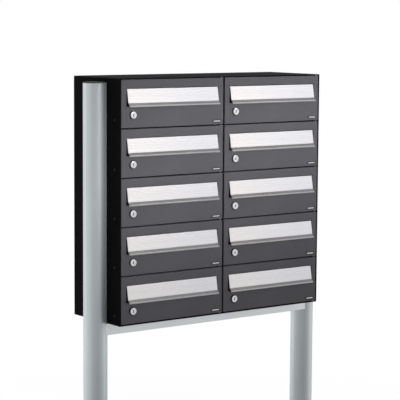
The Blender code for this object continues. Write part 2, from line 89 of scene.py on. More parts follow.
# Distance within which facets of a CAD node join, and angle in degrees within which they are flat
JOIN_WITHIN = 0.00001
FLAT_WITHIN = 1.0

# Softened edges
FOLD_RADIUS = 0.0013
SHEET_EDGE = 0.00045
BAR_EDGE = 0.0008
BASE_PLATE_EDGE = 0.0012

# Doors, measured from the lower left corner of a door's front
DOOR_SHEET = 0.002
SLOT = ((0.018, 0.063), (0.354, 0.116))
EAR_DEPTH = 0.0075
EAR_HEIGHT = 0.010
LOCK_PLACE = (0.041, 0.0375)
LOCK_HOLE_RADIUS = 0.0088
HINGE_INSET = 0.005
HINGE_HOLE_RADIUS = 0.0028
PIN_HOLE_RADIUS = 0.00125
SLOT_EDGE = 0.00025

# Letter flaps
FLAP_HALF = 0.165
FLAP_BARREL = 0.0026
FLAP_SHEET = 0.0015
FLAP_BEND = 0.0007
# Tilt and length of each stretch of a flap, from its pins down
FLAP_FOLDS = (
    (math.radians(9.5), 0.04075),
    (math.radians(45.0), 0.0106),
    (0.0, 0.003),
)
HEM_STEPS = 8
BARREL_STEPS = 24
FLAP_PIN_RADIUS = 0.0009
FLAP_PIN_LENGTH = 0.0052
FLAP_PIN_ROOT = 0.002
FLAP_PIN_EDGE = 0.0003
FLAP_PIN_SEGMENTS = 20
FLAP_EDGE = 0.0003
# Painted shade on the lip: the lip's colour as a share of the panel's, and the heights from the pins
# where it changes
LIP_PAINTED_SHADE = 0.66
LIP_PAINTED_SHADE_LINE = (-0.0403, -0.0398)

# Posts
POST_SEGMENTS = 144
POST_WALL = 0.003
POST_GAP = 0.0003
POST_EDGE = 0.0004
SPIGOT_GAP = 0.0004
SPIGOT_LENGTH = 0.012
# Scale of a cap's outline at each height above its post
CAP_LEVELS = (
    (1.0, 0.0003),
    (1.0, 0.0010),
    (0.985, 0.0017),
    (0.94, 0.0024),
    (0.84, 0.0030),
    (0.70, 0.0034),
    (0.45, 0.0037),
)

# Locks, with depths measured from the front of the door
LOCK_SEGMENTS = 64
FLANGE_BACK = -0.0003
FACE_CHAMFER = 0.0009
FACE_DISH = 0.0004
BARREL_RADIUS = 0.0085
BORE_RADIUS = 0.0063
NECK_END = 0.002
THREAD_START = 0.0025
THREAD_PITCH = 0.001
THREAD_DEPTH = 0.0004
PLUG_RADIUS = 0.0060
PLUG_CHAMFER = 0.0005
KEYWAY_SIZE = (0.0030, 0.0086)
KEYWAY_CORNER = 0.0012
KEYWAY_DEPTH = 0.009
RING_GAP = 0.0001
NUT_ACROSS_FLATS = 0.0225
NUT_START = 0.0021
NUT_THICKNESS = 0.0032
NUT_EDGE = 0.0006
NUT_TAPER = 0.93
# Black ring round each lock's flange, painted shade for the flange's shaded side and contact shadow
SHADE_RING_WIDTH = 0.0016
SHADE_RING_PROUD = 0.0034
SHADE_RING_EDGE = 0.0007
SHADE_RING_FLARE = 0.0004

# Cams, with the scale of each outline at each distance behind the cam's back
CAM_SHEET = 0.002
CAM_WIDTH = 0.012
CAM_GAP = 0.0002
CAM_EDGE = 0.0003
CAM_LEVELS = ((0.985, -CAM_SHEET), (1.0, CAM_EDGE - CAM_SHEET), (1.0, -CAM_EDGE), (0.985, 0.0))
CAM_WASHER_RADIUS = 0.00459
CAM_WASHER_LEVELS = ((1.0, HAIR), (1.0, 0.0005))
CAM_SCREW_RADIUS = 0.0034
CAM_SCREW_LEVELS = ((1.0, 0.0005 + HAIR), (1.0, 0.00176), (0.82, 0.0022))

# Blank plates at the doors' lower right corners, with the scale of each outline at each distance
# behind the door's front, negative as they lie before it
PLATE_SIZE = (0.033, 0.0072)
PLATE_CORNER = 0.0012
PLATE_LEVELS = ((1.0, -0.00005), (1.0, -0.0006), (0.985, -0.0009))
PLATE_FROM_RIGHT = 0.0245
PLATE_FROM_BOTTOM = 0.0105
INSERT_SIZE = (0.0255, 0.0030)
INSERT_CORNER = 0.0007
INSERT_LEVELS = ((1.0, -0.0009 - HAIR), (0.99, -0.00115))

# Fasteners
PLUG_FROM_FRONT = 0.028
PLUG_ABOVE_FLOOR = 0.023
RIVET_RADIUS = 0.0032
RIVET_RISE = 0.0011
RIVETS_ACROSS = 6
RIVET_INSET = (0.015, 0.009)
WELD_RADIUS = 0.0032
WELD_OFFSET = 0.0008
WELD_RIPPLE = 0.10
WELD_RIPPLE_STEP = 1.6
WELD_SIDES = 10
WELD_STEPS = 180
WELD_LIFT = 0.0006
# Sides and radius of each piece on a stud, and where it starts and ends from the side sheet:
# washer, hexagon nut, stud end.
STUD_RINGS = (
    (32, 0.0085, -HAIR, 0.0008),
    (6, 0.0075, 0.0006, 0.0027),
    (32, 0.0038, -0.0022, 0.0031),
)
STUD_EDGE = 0.0004

# Studio
FLOOR_RADIUS = 3.6
FLOOR_DROP = 0.0002
FLOOR_GLOW = 0.75
# Radii between which the floor fades into the backdrop that the camera sees, and stops
# bouncing light
FLOOR_FADE = (1.8, 3.42)
FLOOR_BOUNCE = (1.0, 1.9)
BACKDROP = 1.0
BASE_RADIANCE = 0.28
# Azimuth, elevation, inner and outer half angles in degrees, and radiance of each soft lobe
LOBES = (
    (37.0, 14.0, 8.0, 40.0, 0.40),
    (80.0, -2.0, 10.0, 45.0, 0.75),
    (-5.0, -4.0, 10.0, 40.0, 0.12),
    (-60.0, -6.0, 10.0, 45.0, 0.30),
    (-110.0, -6.0, 12.0, 45.0, 0.60),
    (-160.0, -6.0, 12.0, 45.0, 0.85),
    (0.0, 90.0, 20.0, 60.0, 0.20),
)
# Name, azimuth, elevation, distance, size, radiance, spread, whether it casts shadows, and the
# height it aims at, of each softbox
SOFTBOXES = (
    ("flap_softbox", 37.0, 15.5, 3.6, (2.6, 1.5), 0.33, 180.0, True, 1.15),
    ("door_wash", 12.0, 36.0, 2.4, (1.2, 0.3), 2.0, 20.0, False, 1.33),
)


# ---------------------------------------------------------------- materials


class Shader:
    """Builds one Principled material and its procedural nodes."""

    def __init__(self, name, colour, roughness, metallic=0.0, specular=0.5):
        self.material = bpy.data.materials.new(name)
        self.material.use_nodes = True
        self.tree = self.material.node_tree
        self.principled = self.tree.nodes["Principled BSDF"]
        self.set("Base Color", (*colour, 1.0))
        self.set("Roughness", roughness)
        self.set("Metallic", metallic)
        self.set("Specular IOR Level", specular)
        self.place = self.tree.nodes.new("ShaderNodeTexCoord").outputs["Object"]

    def set(self, socket, value):
        self.principled.inputs[socket].default_value = value

    def link(self, output, socket):
        self.tree.links.new(output, socket)

    def stretched(self, scale):
        """Object coordinates, stretched by a different scale along each axis."""
        mapping = self.tree.nodes.new("ShaderNodeMapping")
        mapping.inputs["Scale"].default_value = scale
        self.link(self.place, mapping.inputs["Vector"])
        return mapping.outputs["Vector"]

    def noise(self, scale, detail=2.0, rough=0.5, stretch=None):
        """Fractal noise from 0 to 1."""
        texture = self.tree.nodes.new("ShaderNodeTexNoise")
        texture.inputs["Scale"].default_value = scale
        texture.inputs["Detail"].default_value = detail
        texture.inputs["Roughness"].default_value = rough
        self.link(self.stretched(stretch) if stretch else self.place, texture.inputs["Vector"])
        return texture.outputs["Fac"]

    def cells(self, scale):
        """Random value for each cell of a broken-up surface."""
        texture = self.tree.nodes.new("ShaderNodeTexVoronoi")
        texture.inputs["Scale"].default_value = scale
        self.link(self.place, texture.inputs["Vector"])
        return texture.outputs["Color"]

    def spread(self, value, low, high, start=0.3, end=0.7):
        """Map a value between start and end onto low to high."""
        mapped = self.tree.nodes.new("ShaderNodeMapRange")
        mapped.inputs["From Min"].default_value = start
        mapped.inputs["From Max"].default_value = end
        mapped.inputs["To Min"].default_value = low
        mapped.inputs["To Max"].default_value = high
        self.link(value, mapped.inputs["Value"])
        return mapped.outputs["Result"]

    def vary_roughness(self, value, low, high):
        self.link(self.spread(value, low, high), self.principled.inputs["Roughness"])

    def blend(self, value, dark, light):
        """Blend between two colours."""
        ramp = self.tree.nodes.new("ShaderNodeValToRGB")
        ramp.color_ramp.elements[0].position = 0.3
        ramp.color_ramp.elements[0].color = (*dark, 1.0)
        ramp.color_ramp.elements[1].position = 0.7
        ramp.color_ramp.elements[1].color = (*light, 1.0)
        self.link(value, ramp.inputs["Fac"])
        return ramp.outputs["Color"]

    def multiply(self, colour, value):
        """Darken or lighten a colour by a value."""
        mix = self.tree.nodes.new("ShaderNodeMix")
        mix.data_type = "RGBA"
        mix.blend_type = "MULTIPLY"
        mix.inputs["Factor"].default_value = 1.0
        self.link(colour, mix.inputs["A"])
        self.link(value, mix.inputs["B"])
        return mix.outputs["Result"]

    def vary_colour(self, value, dark, light):
        self.link(self.blend(value, dark, light), self.principled.inputs["Base Color"])

    def bumps(self, *layers):
        """Stack bump layers, each a value with its strength and its height in metres."""
        normal = None
        for value, strength, distance in layers:
            bump = self.tree.nodes.new("ShaderNodeBump")
            bump.inputs["Strength"].default_value = strength
            bump.inputs["Distance"].default_value = distance
            self.link(value, bump.inputs["Height"])
            if normal:
                self.link(normal, bump.inputs["Normal"])
            normal = bump.outputs["Normal"]
        self.link(normal, self.principled.inputs["Normal"])


def shade(colour, factor):
    return tuple(channel * factor for channel in colour)


def drawn_out(along, lengthwise, across):
    """Noise scales for lines that run along the X or the Z axis."""
    if along == "X":
        return (lengthwise, across, across)
    return (across, across, lengthwise)


def powder_coat(name, colour, roughness, specular):
    """Fine-texture polyester powder coat: a low pebbled grain with slightly uneven gloss."""
    shader = Shader(name, colour, roughness, specular=specular)
    grain = shader.noise(1400.0, detail=2.0)
    pebble = shader.noise(420.0, detail=1.0)
    cloud = shader.noise(9.0, detail=3.0)
    shader.vary_colour(cloud, shade(colour, 0.93), shade(colour, 1.07))
    shader.vary_roughness(pebble, roughness - 0.05, roughness + 0.07)
    shader.bumps((pebble, 0.25, 0.00012), (grain, 0.30, 0.00006))
    return shader.material


def brushed_steel(name, colour, roughness, along):
    """Steel with fine brush or drawing lines along one axis."""
    shader = Shader(name, colour, roughness, metallic=1.0)
    hairs = shader.noise(1.0, detail=3.0, rough=0.65, stretch=drawn_out(along, 2.0, 900.0))
    bands = shader.noise(1.0, detail=2.0, stretch=drawn_out(along, 0.8, 160.0))
    shader.vary_colour(bands, shade(colour, 0.95), shade(colour, 1.04))
    shader.vary_roughness(hairs, roughness - 0.05, roughness + 0.08)
    shader.bumps((bands, 0.05, 0.00005), (hairs, 0.10, 0.00004))
    return shader.material


def flap_steel(name, left, right, roughness):
    """Brushed stainless steel with a painted reflection that fades darker and cooler from left to right,
    and painted shade on the lip.
    """
    shader = Shader(name, left, roughness, metallic=1.0)
    axes = shader.tree.nodes.new("ShaderNodeSeparateXYZ")
    shader.link(shader.place, axes.inputs["Vector"])
    hairs = shader.noise(1.0, detail=3.0, rough=0.65, stretch=drawn_out("X", 2.0, 900.0))
    bands = shader.noise(1.0, detail=2.0, stretch=drawn_out("X", 0.8, 160.0))
    # Painted reflection: the colour fades from the lighter left colour to the darker, cooler right colour
    # across the flap
    along = shader.spread(axes.outputs["X"], 0.3, 0.7, -0.75 * FLAP_HALF, 0.75 * FLAP_HALF)
    steel = shader.multiply(shader.blend(along, left, right), shader.spread(bands, 0.965, 1.03))
    # Painted shade: the colour is darkened on the lip, below the given heights under the pins
    lip = shader.spread(axes.outputs["Z"], LIP_PAINTED_SHADE, 1.0, *LIP_PAINTED_SHADE_LINE)
    shader.link(shader.multiply(steel, lip), shader.principled.inputs["Base Color"])
    shader.vary_roughness(hairs, roughness - 0.05, roughness + 0.08)
    shader.bumps((bands, 0.04, 0.00004), (hairs, 0.10, 0.00004))
    return shader.material


def anodised(name, colour, roughness, along):
    """Satin anodised aluminium with faint drawing lines along one axis."""
    shader = Shader(name, colour, roughness, metallic=0.80)
    lines = shader.noise(1.0, detail=3.0, rough=0.6, stretch=drawn_out(along, 1.0, 500.0))
    cloud = shader.noise(5.0, detail=2.0)
    frost = shader.noise(1800.0, detail=1.0)
    shader.vary_colour(cloud, shade(colour, 0.97), shade(colour, 1.03))
    shader.vary_roughness(lines, roughness - 0.03, roughness + 0.04)
    shader.bumps((lines, 0.05, 0.00003), (frost, 0.10, 0.00003))
    return shader.material


def chrome_plate(name, colour, roughness):
    """Chrome plate over a die casting, with faint polishing swirls."""
    shader = Shader(name, colour, roughness, metallic=1.0)
    swirls = shader.noise(240.0, detail=3.0)
    wave = shader.noise(60.0, detail=1.0)
    shader.vary_roughness(swirls, roughness - 0.03, roughness + 0.06)
    shader.bumps((wave, 0.06, 0.00008))
    return shader.material


def galvanised(name, colour):
    """Hot-dip zinc with its spangle and dull patches."""
    shader = Shader(name, colour, 0.45, metallic=1.0)
    spangle = shader.cells(110.0)
    patches = shader.noise(22.0, detail=4.0)
    shader.vary_colour(spangle, shade(colour, 0.72), shade(colour, 1.12))
    shader.vary_roughness(patches, 0.34, 0.60)
    shader.bumps((patches, 0.20, 0.0004))
    return shader.material


def moulded_plastic(name, colour, roughness):
    """Spark-eroded moulded plastic."""
    shader = Shader(name, colour, roughness, specular=0.4)
    grain = shader.noise(1100.0, detail=2.0)
    cloud = shader.noise(30.0, detail=2.0)
    shader.vary_colour(cloud, shade(colour, 0.92), shade(colour, 1.08))
    shader.vary_roughness(cloud, roughness - 0.05, roughness + 0.05)
    shader.bumps((grain, 0.35, 0.00008))
    return shader.material


# Lit and shaded copies of one black powder coat: the roof's copy has a slightly lighter colour and more
# gloss, painted light, and the rest of the case almost no gloss, painted shade
HOUSING = powder_coat("black_powder_coat", (0.0055, 0.0055, 0.0058), 0.55, 0.01)
ROOF_COAT_LIT_COPY = powder_coat("black_powder_coat_lit_roof_copy", (0.0060, 0.0060, 0.0064), 0.55, 0.06)
DOOR = powder_coat("dark_grey_powder_coat", (0.070, 0.068, 0.078), 0.46, 0.35)
FLAP_STEEL_PAINTED_LIGHT = flap_steel("brushed_stainless_flap_painted_light", (0.765, 0.745, 0.74), (0.69, 0.685, 0.72), 0.27)
STAINLESS = brushed_steel("brushed_stainless_steel", (0.78, 0.78, 0.78), 0.27, "X")
ROD_STEEL = brushed_steel("drawn_bright_steel", (0.52, 0.52, 0.53), 0.30, "Z")
POST_ALUMINIUM = anodised("anodised_aluminium_upright", (0.585, 0.63, 0.65), 0.43, "Z")
# The crossbar's copy of the posts' anodised aluminium is much lighter: painted light
BAR_ALUMINIUM_LIT_COPY = anodised("anodised_aluminium_crosswise_lit_copy", (0.86, 0.90, 0.91), 0.40, "X")
CHROME = chrome_plate("chrome_plate", (0.93, 0.93, 0.94), 0.32)
ZINC = chrome_plate("zinc_plate", (0.56, 0.57, 0.58), 0.30)
GALVANISED = galvanised("galvanised_steel", (0.50, 0.51, 0.53))
CAP_PLASTIC = moulded_plastic("dark_grey_plastic", (0.050, 0.052, 0.055), 0.55)
# Black plastic for the blank plates and side plugs, and painted shade in the keyways and round the lock
# flanges
BLACK_PLASTIC_AND_SHADE = moulded_plastic("black_plastic_and_painted_shade", (0.006, 0.006, 0.006), 0.50)


# ------------------------------------------------------------- CAD nodes


def dress(node, material, edge=None, segments=2, sharper_than=CREASE):
    """Give a CAD node its material and, if asked, softened edges."""
    obj = frame["nodes"][node]
    obj.data.materials.clear()
    obj.data.materials.append(material)
    if edge is None:
        return
    weld = obj.modifiers.new("Join facets", "WELD")
    weld.merge_threshold = JOIN_WITHIN
    flat = obj.modifiers.new("Flat faces", "DECIMATE")
    flat.decimate_type = "DISSOLVE"
    flat.angle_limit = math.radians(FLAT_WITHIN)
    bevel = obj.modifiers.new("Soft edges", "BEVEL")
    bevel.width = edge
    bevel.segments = segments
    bevel.limit_method = "ANGLE"
    bevel.angle_limit = math.radians(sharper_than)
    bevel.harden_normals = True
    bevel.miter_outer = "MITER_ARC"


def dress_cad_nodes():
    for node in ("floor_panel", "back_panel", "side_panel_left", "side_panel_right"):
        dress(node, HOUSING, SHEET_EDGE)
    dress("roof", ROOF_COAT_LIT_COPY, SHEET_EDGE)
    for node in ("centre_divider", *SHELVES):
        dress(node, HOUSING)
    for side, _ in SIDES:
        dress(f"hinge_rod_{side}", ROD_STEEL)
        dress(f"base_plate_{side}", GALVANISED, BASE_PLATE_EDGE)
    dress("crossbar", BAR_ALUMINIUM_LIT_COPY, BAR_EDGE, segments=3, sharper_than=50.0)


def joint_place(name):
    """A joint's place at rest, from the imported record."""
    return next(
        joint["pos_m"] for joint in frame["record"]["behaviour"]["joints"] if joint["name"] == name
    )


# ------------------------------------------------------------ mesh tools


def finish_mesh(name, bm, material, crease=CREASE):
    """Turn a bmesh into a mesh that is smooth except along creases."""
    bmesh.ops.recalc_face_normals(bm, faces=bm.faces)
    mesh = bpy.data.meshes.new(name)
    bm.to_mesh(mesh)
    bm.free()
    mesh.materials.append(material)
    mesh.shade_smooth()
    mesh.set_sharp_from_angle(angle=math.radians(crease))
    return mesh


def put(name, mesh, body, place):
    """Add a piece at a place in the frame that rides on a body."""
    obj = bpy.data.objects.new(name, mesh)
    bpy.context.scene.collection.objects.link(obj)
    obj.location = place
    flatten = obj.modifiers.new("Flat faces stay flat", "WEIGHTED_NORMAL")
    flatten.keep_sharp = True
    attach(obj, body)
    return obj


def arc(radius, start, sweep, steps, centre=(0.0, 0.0)):
    """Points along an arc, with both its ends."""
    return [
        (centre[0] + radius * math.cos(start + sweep * i / steps),
         centre[1] + radius * math.sin(start + sweep * i / steps))
        for i in range(steps + 1)
    ]


def circle(radius, steps, centre=(0.0, 0.0)):
    """Points round a circle, each given once."""
    return arc(radius, 0.0, math.tau, steps, centre)[:-1]


def skin(bm, rings, closed=False):
    """Join rings of points into a solid, capped at both ends or closed into a ring."""
    loops = [[bm.verts.new(point) for point in ring] for ring in rings]
    if not closed:
        bm.faces.new(loops[0])
        bm.faces.new(loops[-1])
    following = loops[1:] + loops[:1] if closed else loops[1:]
    for near, far in zip(loops, following):
        for i in range(len(near)):
            j = (i + 1) % len(near)
            bm.faces.new((near[i], near[j], far[j], far[i]))


def turn(bm, profile, segments, start=0.0):
    """Turn a closed profile of (radius, y) points about the Y axis into a ring."""
    rings = []
    for i in range(segments):
        angle = start + math.tau * i / segments
        rings.append([(radius * math.cos(angle), y, radius * math.sin(angle)) for radius, y in profile])
    skin(bm, rings, closed=True)


def rounded_outline(width, height, radius, steps=5):
    """Points round a rectangle with rounded corners, centred on the origin."""
    points = []
    for quarter, (sx, sy) in enumerate(((1, 1), (-1, 1), (-1, -1), (1, -1))):
        centre = (sx * (width / 2 - radius), sy * (height / 2 - radius))
        points += arc(radius, quarter * math.pi / 2, math.pi / 2, steps, centre)
    return points


def raise_outline(bm, outline, levels, base=0.0):
    """Loft an (x, z) outline through (scale, y) levels, with y measured from a base."""
    skin(bm, [[(x * scale, base + y, z * scale) for x, z in outline] for scale, y in levels])


def carve(mesh, cutter):
    """Take one mesh away from another. The cut faces take the second mesh's material."""
    base = bpy.data.objects.new("base", mesh)
    tool = bpy.data.objects.new("tool", cutter)
    for obj in (base, tool):
        bpy.context.scene.collection.objects.link(obj)
    cut = base.modifiers.new("Cut", "BOOLEAN")
    cut.operation = "DIFFERENCE"
    cut.material_mode = "TRANSFER"
    cut.object = tool
    bpy.context.view_layer.update()
    depsgraph = bpy.context.evaluated_depsgraph_get()
    result = bpy.data.meshes.new_from_object(base.evaluated_get(depsgraph))
    for obj in (base, tool):
        bpy.data.objects.remove(obj)
    result.shade_smooth()
    result.set_sharp_from_angle(angle=math.radians(CREASE))
    return result


def bevelled(mesh, width, sharper_than):
    """Return a copy of a mesh with a small bevel along its sharp edges."""
    obj = bpy.data.objects.new("bevelled", mesh)
    bpy.context.scene.collection.objects.link(obj)
    bevel = obj.modifiers.new("Soft edges", "BEVEL")
    bevel.width = width
    bevel.segments = 2
    bevel.limit_method = "ANGLE"
    bevel.angle_limit = math.radians(sharper_than)
    bevel.harden_normals = True
    bpy.context.view_layer.update()
    depsgraph = bpy.context.evaluated_depsgraph_get()
    result = bpy.data.meshes.new_from_object(obj.evaluated_get(depsgraph))
    bpy.data.objects.remove(obj)
    return result


# ----------------------------------------------------------------- doors


def block(low, high):
    """Box between two corners, as a bmesh."""
    bm = bmesh.new()
    size = [b - a for a, b in zip(low, high)]
    middle = [(a + b) / 2 for a, b in zip(low, high)]
    place = Matrix.Translation(middle) @ Matrix.Diagonal((*size, 1.0))
    bmesh.ops.create_cube(bm, size=1.0, matrix=place)
    return bm


def block_mesh(low, high):
    return finish_mesh("block", block(low, high), DOOR)


def rod_mesh(centre, radius, low, high, axis, segments=48):
    """Round cutter along an axis. The centre gives its two other coordinates, in order."""
    turned = {
        "X": Matrix(((0, 0, 1), (1, 0, 0), (0, 1, 0))),
        "Y": Matrix(((1, 0, 0), (0, 0, 1), (0, 1, 0))),
        "Z": Matrix.Identity(3),
    }[axis]
    ring = circle(radius, segments, centre)
    bm = bmesh.new()
    skin(bm, [[turned @ Vector((u, v, w)) for u, v in ring] for w in (low, high)])
    return finish_mesh("rod", bm, DOOR)


def door_mesh():
    """Folded door pan with rounded folds, its origin at the lower left corner of its front."""
    low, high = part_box("door_01")
    width, depth, height = high - low
    bm = block((0.0, 0.0, 0.0), (width, depth, height))
    folds = [
        edge for edge in bm.edges
        if min(vertex.co.y for vertex in edge.verts) < depth / 2
    ]
    bmesh.ops.bevel(bm, geom=folds, offset=FOLD_RADIUS, segments=4, profile=0.5, affect="EDGES")
    mesh = finish_mesh("door", bm, DOOR)
    (left, bottom), (right, top) = SLOT
    pin_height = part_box("flap_01")[1].z - low.z - FLAP_BARREL
    pin_depth = joint_place("flap_hinge_01")[1] - low.y
    over = 2 * DOOR_SHEET
    cutters = (
        block_mesh(
            (DOOR_SHEET, DOOR_SHEET, DOOR_SHEET),
            (width - DOOR_SHEET, depth + over, height - DOOR_SHEET),
        ),
        block_mesh((left, -over, bottom), (right, over, top)),
        rod_mesh(LOCK_PLACE, LOCK_HOLE_RADIUS, -over, over, "Y"),
        rod_mesh((width - HINGE_INSET, HINGE_INSET), HINGE_HOLE_RADIUS, -over, height + over, "Z"),
    )
    for cutter in cutters:
        mesh = carve(mesh, cutter)
    mesh = bevelled(mesh, SLOT_EDGE, 60.0)
    bm = bmesh.new()
    bm.from_mesh(mesh)
    for near, far in ((left - DOOR_SHEET, left), (right, right + DOOR_SHEET)):
        ear = block_mesh(
            (near, DOOR_SHEET, top - EAR_HEIGHT),
            (far, DOOR_SHEET + EAR_DEPTH, top + DOOR_SHEET),
        )
        pin = (pin_depth, pin_height)
        hole = rod_mesh(pin, PIN_HOLE_RADIUS, near - over, far + over, "X", segments=24)
        bm.from_mesh(carve(ear, hole))
    return finish_mesh("door", bm, DOOR, FINE_CREASE)


def add_doors():
    """Put a round-folded door in every compartment, in place of the CAD door."""
    mesh = door_mesh()
    for number in NUMBERS:
        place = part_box(f"door_{number}")[0]
        door = put(f"folded_door_{number}", mesh, f"door_{number}", place)
        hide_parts(f"door_{number}")


# ----------------------------------------------------------------- flaps


def sheet_middle(start, folds, thickness, bend, steps=8):
    """Points (y, z, tilt) down the middle of a folded sheet, with round bends.

    The start is on the front face. A tilt is measured from straight down towards the front.
    """
    reach = bend + thickness / 2
    tilt = folds[0][0]
    y = start[0] + math.cos(tilt) * thickness / 2
    z = start[1] - math.sin(tilt) * thickness / 2
    points = [(y, z, tilt)]
    for i, (tilt, length) in enumerate(folds):
        y -= math.sin(tilt) * length
        z -= math.cos(tilt) * length
        if i == len(folds) - 1:
            points.append((y, z, tilt))
            break
        following = folds[i + 1][0]
        side = 1 if following > tilt else -1
        back_off = reach * math.tan(abs(following - tilt) / 2)
        from_y = y + math.sin(tilt) * back_off
        from_z = z + math.cos(tilt) * back_off
        centre_y = from_y - side * math.cos(tilt) * reach
        centre_z = from_z + side * math.sin(tilt) * reach
        for step in range(steps + 1):
            turned = tilt + (following - tilt) * step / steps
            points.append((
                centre_y + side * math.cos(turned) * reach,
                centre_z - side * math.sin(turned) * reach,
                turned,
            ))
    return points


def flap_outline():
    """Closed (y, z) outline of the flap: front face, round hem, back face and pivot barrel."""
    tilt = FLAP_FOLDS[0][0]
    half = FLAP_SHEET / 2
    start = (-FLAP_BARREL * math.cos(tilt), FLAP_BARREL * math.sin(tilt))
    middle = sheet_middle(start, FLAP_FOLDS, FLAP_SHEET, FLAP_BEND)
    front = [(y - half * math.cos(t), z + half * math.sin(t)) for y, z, t in middle]
    back = [(y + half * math.cos(t), z - half * math.sin(t)) for y, z, t in reversed(middle)]
    end_y, end_z, _ = middle[-1]
    hem = arc(half, math.pi, math.pi, HEM_STEPS, (end_y, end_z))[1:-1]
    behind = FLAP_BARREL - FLAP_SHEET
    drop = math.sqrt(FLAP_BARREL**2 - behind**2)
    top_y, top_z = back[-1]
    back[-1] = (top_y - drop * math.sin(tilt), top_z - drop * math.cos(tilt))
    turned = math.pi - tilt
    first = turned + math.atan2(drop, behind) - math.tau
    barrel = arc(FLAP_BARREL, first, turned - first, BARREL_STEPS)[1:-1]
    return front + hem + back + barrel


def flap_mesh():
    """Letter flap with its origin on its pivot axis, halfway along it."""
    outline = flap_outline()
    bm = bmesh.new()
    skin(bm, [[(x, y, z) for y, z in outline] for x in (-FLAP_HALF, FLAP_HALF)])
    sheet = bevelled(finish_mesh("flap_sheet", bm, FLAP_STEEL_PAINTED_LIGHT), FLAP_EDGE, 70.0)
    bm = bmesh.new()
    bm.from_mesh(sheet)
    pin = circle(FLAP_PIN_RADIUS, FLAP_PIN_SEGMENTS)
    levels = (
        (1.0, FLAP_HALF - FLAP_PIN_ROOT),
        (1.0, FLAP_HALF + FLAP_PIN_LENGTH - FLAP_PIN_EDGE),
        (0.7, FLAP_HALF + FLAP_PIN_LENGTH),
    )
    for side in (-1, 1):
        skin(bm, [[(side * x, y * scale, z * scale) for y, z in pin] for scale, x in levels])
    return finish_mesh("flap", bm, FLAP_STEEL_PAINTED_LIGHT)


def add_flaps():
    """Put a round-bent flap in every door, in place of the CAD flap."""
    mesh = flap_mesh()
    for number in NUMBERS:
        place = joint_place(f"flap_hinge_{number}")
        flap = put(f"letter_flap_{number}", mesh, f"flap_{number}", place)
        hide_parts(f"flap_{number}")


# ----------------------------------------------------------------- posts


def disc_outline(radius, chord, segments):
    """(x, y) outline of a disc that is cut off straight at x = chord."""
    half = math.acos(chord / radius)
    return arc(radius, half, math.tau - 2 * half, segments)


def upright(bm, outline, levels, mirror=1):
    """Loft an (x, y) outline up through (scale, z) levels."""
    skin(bm, [[(mirror * x * scale, y * scale, z) for x, y in outline] for scale, z in levels])


def upright_mesh(outline, levels, mirror=1):
    bm = bmesh.new()
    upright(bm, outline, levels, mirror)
    return finish_mesh("upright", bm, POST_ALUMINIUM)


def post_sizes(side, sign):
    """Radius, axis x and y, bottom, top and distance from axis to flat of a post, from CAD nodes."""
    low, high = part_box(f"post_{side}")
    radius = (high.y - low.y) / 2
    axis_x = (low.x if sign < 0 else high.x) - sign * radius
    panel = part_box(f"side_panel_{side}")
    face = panel[0].x if sign < 0 else panel[1].x
    return radius, axis_x, (low.y + high.y) / 2, low.z, high.z, abs(face - axis_x) - POST_GAP


def post_mesh(radius, chord, height, shoulder, mirror):
    """Round tube with an inner web, milled down to the web above its shoulder."""
    edge = 1.0 - POST_EDGE / radius
    levels = ((1.0, 0.0), (1.0, height - POST_EDGE), (edge, height))
    tube = upright_mesh(circle(radius, POST_SEGMENTS), levels)
    bore = disc_outline(radius - POST_WALL, chord - POST_WALL, POST_SEGMENTS)
    chamber = upright_mesh(bore, ((1.0, -PAST), (1.0, height + PAST)), mirror)
    wide = 2 * radius
    beyond_web = [(chord, -wide), (wide, -wide), (wide, wide), (chord, wide)]
    notch = upright_mesh(beyond_web, ((1.0, shoulder), (1.0, height + PAST)), mirror)
    return carve(carve(tube, chamber), notch)


def add_posts():
    """Stand finely rounded posts and caps in for the faceted CAD ones."""
    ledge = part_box("crossbar")[1].z
    for side, sign in SIDES:
        radius, x, y, bottom, top, chord = post_sizes(side, sign)
        mesh = post_mesh(radius, chord, top - bottom, ledge - bottom, -sign)
        post = put(f"round_post_{side}", mesh, "root", (x, y, bottom))
        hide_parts(f"post_{side}")
        bm = bmesh.new()
        upright(bm, disc_outline(radius, chord, POST_SEGMENTS), CAP_LEVELS, -sign)
        room = POST_WALL + SPIGOT_GAP
        spigot = disc_outline(radius - room, chord - room, POST_SEGMENTS)
        upright(bm, spigot, ((1.0, -SPIGOT_LENGTH), (1.0, CAP_LEVELS[0][1])), -sign)
        mesh = finish_mesh("post_cap", bm, CAP_PLASTIC, crease=40.0)
        cap = put(f"domed_cap_{side}", mesh, "root", (x, y, top))
        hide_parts(f"post_cap_{side}")


# ----------------------------------------------------------------- locks


def lock_sizes():
    """Sizes of the first lock, read from its CAD nodes, with y measured from the door's front."""
    body_low, body_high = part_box("lock_body_01")
    plug_low, plug_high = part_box("lock_plug_01")
    door_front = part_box("door_01")[0].y
    centre = (body_low + body_high) / 2
    return {
        "face_radius": (body_high.z - body_low.z) / 2,
        "face": body_low.y - door_front,
        "end": body_high.y - door_front,
        "plug_face": plug_low.y - door_front,
        "cam_back": plug_high.y - door_front,
        "cam_reach": plug_high.x - centre.x,
        "hub_radius": (plug_high.z - plug_low.z) / 2,
    }


LOCK = lock_sizes()


